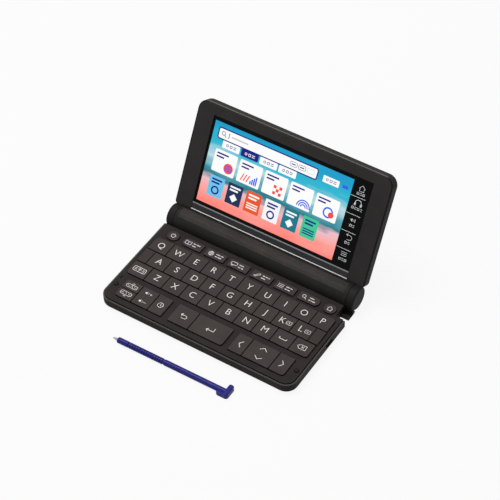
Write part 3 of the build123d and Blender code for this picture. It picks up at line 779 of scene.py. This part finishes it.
bead_middle = bead_near + bead_width / 2
border_middle = window_near - 0.45
strip_floor = lid_face - 0.5
highlight_line("bead_highlight", bead_middle, bead_width, lid_face - 0.1, lid_face + 0.08, 250)
highlight_line("window_edge_highlight", border_middle, border_width, strip_floor, lid_face - 0.2, 138)
strip_near = bead_near + 0.8
strip_depth = window_near - bead_near - 1.3
strip_middle = strip_near + strip_depth / 2
strip = flat_plate(
    window_middle, strip_middle, window_width, strip_depth, low=strip_floor, high=lid_face - 0.32
)
strip.name = "lower_strip"
settle(strip, on_lid)
strip_black = grained_plastic("strip_black", linear(32, 33, 37), linear(38, 39, 44), 0.25)
finish(strip, strip_black, "lid")


# ---- Display ----
# A black panel under a glossy touch film. The lit picture shows a search bar, tabs, cards and
# cover tiles on a sea-coloured ground, and touch marks are printed down its right side.

panel_black = grained_plastic(
    "panel_black", linear(2, 3, 3), linear(4, 5, 6), 0.12, height=0.0, index=1.15
)
coat_node("display_panel", panel_black)

glass_level = lid_face - 0.75
picture_left = -59.25
picture_near = 16.65
picture_width = 106.25
picture_height = 57.85
layer = 0.03
on_picture = on_lid @ Matrix.Translation((picture_left * mm, picture_near * mm, glass_level * mm))


def light_up(shader):
    """Let a surface shine as a screen does, black but for its own light, under the glossy film."""
    shader.inputs["Base Color"].default_value = (0.01, 0.01, 0.01, 1)
    shader.inputs["Emission Strength"].default_value = 1.0
    shader.inputs["Roughness"].default_value = 0.25
    shader.inputs["IOR"].default_value = 1.2


def lit_colour(name, colour):
    """A lit part of the picture, in fine columns of pixels."""
    lit, tree, shader, place = bare_material(name)
    columns = tree.nodes.new("ShaderNodeTexWave")
    columns.inputs["Scale"].default_value = 800
    tone = tree.nodes.new("ShaderNodeMix")
    tone.data_type = "RGBA"
    tone.inputs["A"].default_value = tuple(0.94 * part for part in colour[:3]) + (1,)
    tone.inputs["B"].default_value = colour
    tree.links.new(place.outputs["Object"], columns.inputs["Vector"])
    tree.links.new(columns.outputs["Fac"], tone.inputs["Factor"])
    tree.links.new(tone.outputs["Result"], shader.inputs["Emission Color"])
    light_up(shader)
    return lit


def sea_ground():
    """The picture's ground: bright blue above, a darker wavy band, and coral below."""
    sea, tree, shader, place = bare_material("sea_ground")
    split = tree.nodes.new("ShaderNodeSeparateXYZ")
    swell = tree.nodes.new("ShaderNodeMapping")
    swell.inputs["Scale"].default_value = (2.2, 4.5, 1)
    swell.inputs["Rotation"].default_value = (0, 0, math.radians(-14))
    cloud = tree.nodes.new("ShaderNodeTexNoise")
    cloud.inputs["Scale"].default_value = 1.6
    cloud.inputs["Detail"].default_value = 5
    height = tree.nodes.new("ShaderNodeMath")
    height.operation = "MULTIPLY_ADD"
    height.inputs[1].default_value = 0.34
    level = tree.nodes.new("ShaderNodeMath")
    level.operation = "SUBTRACT"
    level.inputs[1].default_value = 0.17
    ramp = tree.nodes.new("ShaderNodeValToRGB")
    stops = [
        (0.00, linear(255, 132, 122)),
        (0.17, linear(254, 160, 152)),
        (0.28, linear(236, 190, 200)),
        (0.36, linear(10, 118, 134)),
        (0.46, linear(96, 170, 186)),
        (0.60, linear(190, 222, 228)),
        (0.74, linear(40, 182, 208)),
        (1.00, linear(0, 152, 200)),
    ]
    while len(ramp.color_ramp.elements) < len(stops):
        ramp.color_ramp.elements.new(0.5)
    for element, (position, colour) in zip(ramp.color_ramp.elements, stops):
        element.position = position
        element.color = colour
    links = tree.links
    links.new(place.outputs["UV"], split.inputs["Vector"])
    links.new(place.outputs["UV"], swell.inputs["Vector"])
    links.new(swell.outputs["Vector"], cloud.inputs["Vector"])
    links.new(cloud.outputs["Fac"], height.inputs[0])
    links.new(split.outputs["Y"], height.inputs[2])
    links.new(height.outputs["Value"], level.inputs[0])
    links.new(level.outputs["Value"], ramp.inputs["Fac"])
    links.new(ramp.outputs["Color"], shader.inputs["Emission Color"])
    light_up(shader)
    return sea


def show(pieces, name, material):
    """Place parts of the picture on the glass as one piece."""
    piece = joined(pieces, name)
    settle(piece, on_picture)
    finish(piece, material, "lid")


def levels(step):
    """The lower and upper level of one layer of the picture."""
    return {"low": (step - 1) * layer, "high": step * layer}


paper = lit_colour("lit_white", linear(255, 255, 255))
navy = lit_colour("lit_navy", linear(10, 10, 130))
coral = lit_colour("lit_coral", linear(250, 70, 66))
azure = lit_colour("lit_azure", linear(40, 96, 236))
faint = lit_colour("lit_grey", linear(190, 200, 206))

ground_middle = (picture_width / 2, picture_height / 2)
ground = flat_plate(*ground_middle, picture_width, picture_height, **levels(1))
show([ground], "picture_ground", sea_ground())

# the search bar with its outline, a row of tabs below it, a button at the right, and five cards
bar_left, bar_right, bar_low, bar_high = 4.6, 80.0, 47.4, 54.0
bar_width, bar_height, bar_border = bar_right - bar_left, bar_high - bar_low, 0.85
bar_middle = ((bar_left + bar_right) / 2, (bar_low + bar_high) / 2)
outline_size = (bar_width + 2 * bar_border, bar_height + 2 * bar_border)
show([flat_plate(*bar_middle, *outline_size, 1.8, **levels(2))], "bar_outline", navy)
white_parts = [flat_plate(*bar_middle, bar_width, bar_height, 1.0, **levels(3))]
tab_first, tab_width, tab_pitch, tab_low, tab_high = 9.0, 13.4, 14.6, 41.6, 46.6
tab_size = (tab_width, tab_high - tab_low)
tab_middle = (tab_low + tab_high) / 2
tabs = [tab_first + tab_width / 2 + place * tab_pitch for place in range(4)]
open_tab = 1
for place, x in enumerate(tabs):
    if place != open_tab:
        white_parts.append(flat_plate(x, tab_middle, *tab_size, 0.6, **levels(3)))
button_middle = (91.0, 50.2)
white_parts.append(flat_plate(*button_middle, 12.0, 4.6, 0.5, **levels(3)))
card_first, card_width, card_height, card_low, card_pitch = 5.2, 17.4, 15.6, 24.0, 19.7
card_high = card_low + card_height
card_middle = card_low + card_height / 2
cards = [card_first + card_width / 2 + place * card_pitch for place in range(5)]
for x in cards:
    white_parts.append(flat_plate(x, card_middle, card_width, card_height, 0.9, **levels(3)))
show(white_parts, "picture_white", paper)

# the bar's lens and cursor, the open tab, and labels on the tabs, the button and the cards
row_y = 50.7
label_size = 1.9
navy_parts = lens_mark(8.0, 51.1, 1.1, **levels(4))
navy_parts.append(flat_plate(12.4, row_y, 0.5, 3.8, **levels(4)))
navy_parts.append(flat_plate(tabs[open_tab], tab_middle, *tab_size, 0.6, **levels(3)))


def small_signs(x, y, step, size):
    """A ring, a frame and two bars in a row, as labels on the picture."""
    signs = [flat_ring(x - 1.5 * size, y, 0.5 * size, 0.3 * size, sides=20, **levels(step))]
    signs.append(flat_frame(x, y, size, size, 0.2 * size, 0.2 * size, **levels(step)))
    for rise in (-0.32, 0.32):
        row = y + rise * size
        ends = ((x + 1.05 * size, row), (x + 2.0 * size, row))
        signs.append(flat_bar(*ends, 0.24 * size, **levels(step)))
    return signs


for place, x in enumerate(tabs):
    if place != open_tab:
        navy_parts += small_signs(x, tab_middle, 4, label_size)
navy_parts += small_signs(*button_middle, 4, label_size)
for x in (62.5, 69.0):
    navy_parts.append(flat_frame(x, row_y, 5.6, 3.4, 0.3, 1.2, **levels(4)))
    navy_parts.append(flat_bar((x - 1.3, row_y), (x + 1.3, row_y), 0.7, **levels(4)))
title_margin, title_drop, title_pitch, title_height = 1.6, 2.4, 2.3, 1.1
for x in cards:
    left = x - card_width / 2 + title_margin
    for row, length in enumerate((9.0, 6.0)):
        y = card_high - title_drop - title_pitch * row
        navy_parts.append(flat_plate(left + length / 2, y, length, title_height, 0.3, **levels(4)))
show(navy_parts, "picture_navy", navy)
show(small_signs(tabs[open_tab], tab_middle, 4, label_size), "picture_tab_signs", paper)
grey_parts = [flat_frame(75.5, row_y, 5.6, 3.4, 0.25, 1.2, **levels(4))]
grey_parts.append(flat_bar((14.8, row_y), (27.0, row_y), 0.9, **levels(4)))
show(grey_parts, "picture_grey", faint)

# a plain figure in the lower right corner of each card: a striped disc, slanted strokes with
# rising bars, five squares, a bow of three arcs, and a ring with a dot
figure_y = card_low + 5.0
coral_parts = [flat_ring(cards[0] + 3.6, figure_y, 3.6, **levels(4))]
for step, rise in ((0.5, -2.2), (4.9, -2.2), (2.7, 0), (0.5, 2.2), (4.9, 2.2)):
    coral_parts.append(flat_plate(cards[2] + step, figure_y + rise, 2.1, 2.1, **levels(4)))
coral_parts.append(flat_ring(cards[4] + 4.4, figure_y - 0.6, 2.0, **levels(5)))
for place in range(3):
    x = cards[1] - 5.5 + 2.2 * place
    ends = ((x, figure_y - 3), (x + 1.5, figure_y + 1.4))
    coral_parts.append(flat_bar(*ends, 0.8, **levels(4)))
show(coral_parts, "picture_coral", coral)
azure_parts = []
for rise in (-1.6, 0, 1.6):
    azure_parts.append(flat_plate(cards[0] + 3.6, figure_y + rise, 5.6, 0.7, 0.3, **levels(5)))
for place in range(4):
    x = cards[1] + 1.8 + 1.4 * place
    ends = ((x, figure_y - 3.2), (x, figure_y - 1.6 + 1.3 * place))
    azure_parts.append(flat_bar(*ends, 1.0, **levels(4)))
for radius in (5.2, 3.7, 2.2):
    arc = flat_ring(cards[3] + 3.6, figure_y - 3.4, radius, radius - 0.8, 0, 180, **levels(4))
    azure_parts.append(arc)
azure_parts.append(flat_ring(cards[4] + 2.0, figure_y + 0.4, 3.8, 2.7, **levels(4)))
battery_sign = flat_plate(101.6, 50.4, 4.2, 2.2, 0.4, **levels(3))
azure_parts.append(battery_sign)
show(azure_parts, "picture_azure", azure)

# a row of cover tiles, each with two title lines and a ring, a diamond or three lines
tile_first, tile_width, tile_height, tile_low, tile_pitch = 6.0, 11.6, 14.6, 6.6, 14.6
tile_colours = {
    "sky": linear(110, 196, 236),
    "navy": linear(16, 40, 84),
    "orange": linear(236, 84, 30),
    "white": linear(246, 248, 250),
    "teal": linear(0, 120, 140),
    "green": linear(60, 200, 150),
}
pale_tiles = ("sky", "white", "green")
for place, (tint, colour) in enumerate(tile_colours.items()):
    x = tile_first + tile_width / 2 + place * tile_pitch
    y = tile_low + tile_height / 2
    tile = flat_plate(x, y, tile_width, tile_height, 0.5, **levels(3))
    show([tile], "tile_" + tint, lit_colour("lit_" + tint, colour))
    figure = []
    for row in range(2):
        length = 8.0 - 1.6 * row
        title = flat_plate(x - 0.8 * row, y + 4.8 - 2.2 * row, length, 1.2, 0.3, **levels(4))
        figure.append(title)
    if place % 3 == 0:
        figure.append(flat_ring(x, y - 2.6, 3.0, 1.9, **levels(4)))
    elif place % 3 == 1:
        figure.append(flat_plate(x, y - 2.6, 4.2, 4.2, 0.2, 45, **levels(4)))
    else:
        for row in range(3):
            figure.append(flat_plate(x, y - 1.2 - 1.6 * row, 8.6, 0.8, 0.3, **levels(4)))
    show(figure, "tile_figure_" + tint, navy if tint in pale_tiles else paper)

# five touch marks printed in white down the right side of the glass, each over a short label,
# with lines between them: a house, headphones, a loudspeaker, an arrow back and a menu
mark_x = 113.2
touch_parts = [flat_plate(mark_x - 1.2, y, 10.5, 0.3) for y in (47.5, 35.3, 23.0, 10.9)]
touch_rows = [52.6, 42.4, 30.2, 18.0, 6.0]
touch_parts += moved(house_mark(2.1), mark_x, touch_rows[0] + 1.4)
headphones = [flat_ring(0, 0, 2.5, 2.1, 0, 180)]
headphones += [flat_plate(x, -0.9, 1.2, 2.0, 0.4) for x in (-2.2, 2.2)]
touch_parts += moved(headphones, mark_x, touch_rows[1] + 1.2)
loudspeaker = speaker_mark() + [flat_ring(-0.9, 0, 2.1, 1.8, -40, 80)]
touch_parts += moved(loudspeaker, mark_x + 0.3, touch_rows[2] + 1.4)
back = [flat_ring(0.8, -0.3, 1.8, 1.45, -90, 180), flat_bar((-1.8, 1.32), (0.8, 1.32), thin)]
back.append(flat_bar((-0.8, -1.92), (0.8, -1.92), thin))
back += strokes([(-0.8, 2.3), (-1.8, 1.32), (-0.8, 0.4)], thin)
touch_parts += moved(back, mark_x, touch_rows[3] + 1.6)
for rise in (0.3, 1.5, 2.7):
    y = touch_rows[4] + rise
    touch_parts.append(flat_bar((mark_x - 2.0, y), (mark_x + 2.0, y), thin))
label_drop, label_pitch = 2.5, 2.1
for row, count in zip(touch_rows, (3, 4, 2, 2, 3)):
    for place in range(count):
        x = mark_x + label_pitch * (place - (count - 1) / 2)
        if place % 2:
            for rise in (-0.6, 0.6):
                y = row - label_drop + rise
                touch_parts.append(flat_bar((x - 0.6, y), (x + 0.6, y), 0.32))
        else:
            touch_parts.append(flat_frame(x, row - label_drop, 1.6, 1.7, 0.34, 0.3))
show(touch_parts, "touch_marks", speckled_paint("mark_white", linear(225, 228, 230), 0.3))


# ---- Stylus ----
# A blue-violet plastic pen with a grey nib, a ribbed grip and a hooked head that a fingernail
# catches. It is kept in a bore in the case's right side, and lies loose when it is in use.

stylus_violet = grained_plastic(
    "stylus_violet", linear(24, 24, 106), linear(30, 30, 122), 0.32, height=0.004, index=1.25
)
nib_start = 44.3
coat_node("stylus", change_beyond(stylus_violet, (-1, 0, 0), nib_start, linear(176, 176, 186)))
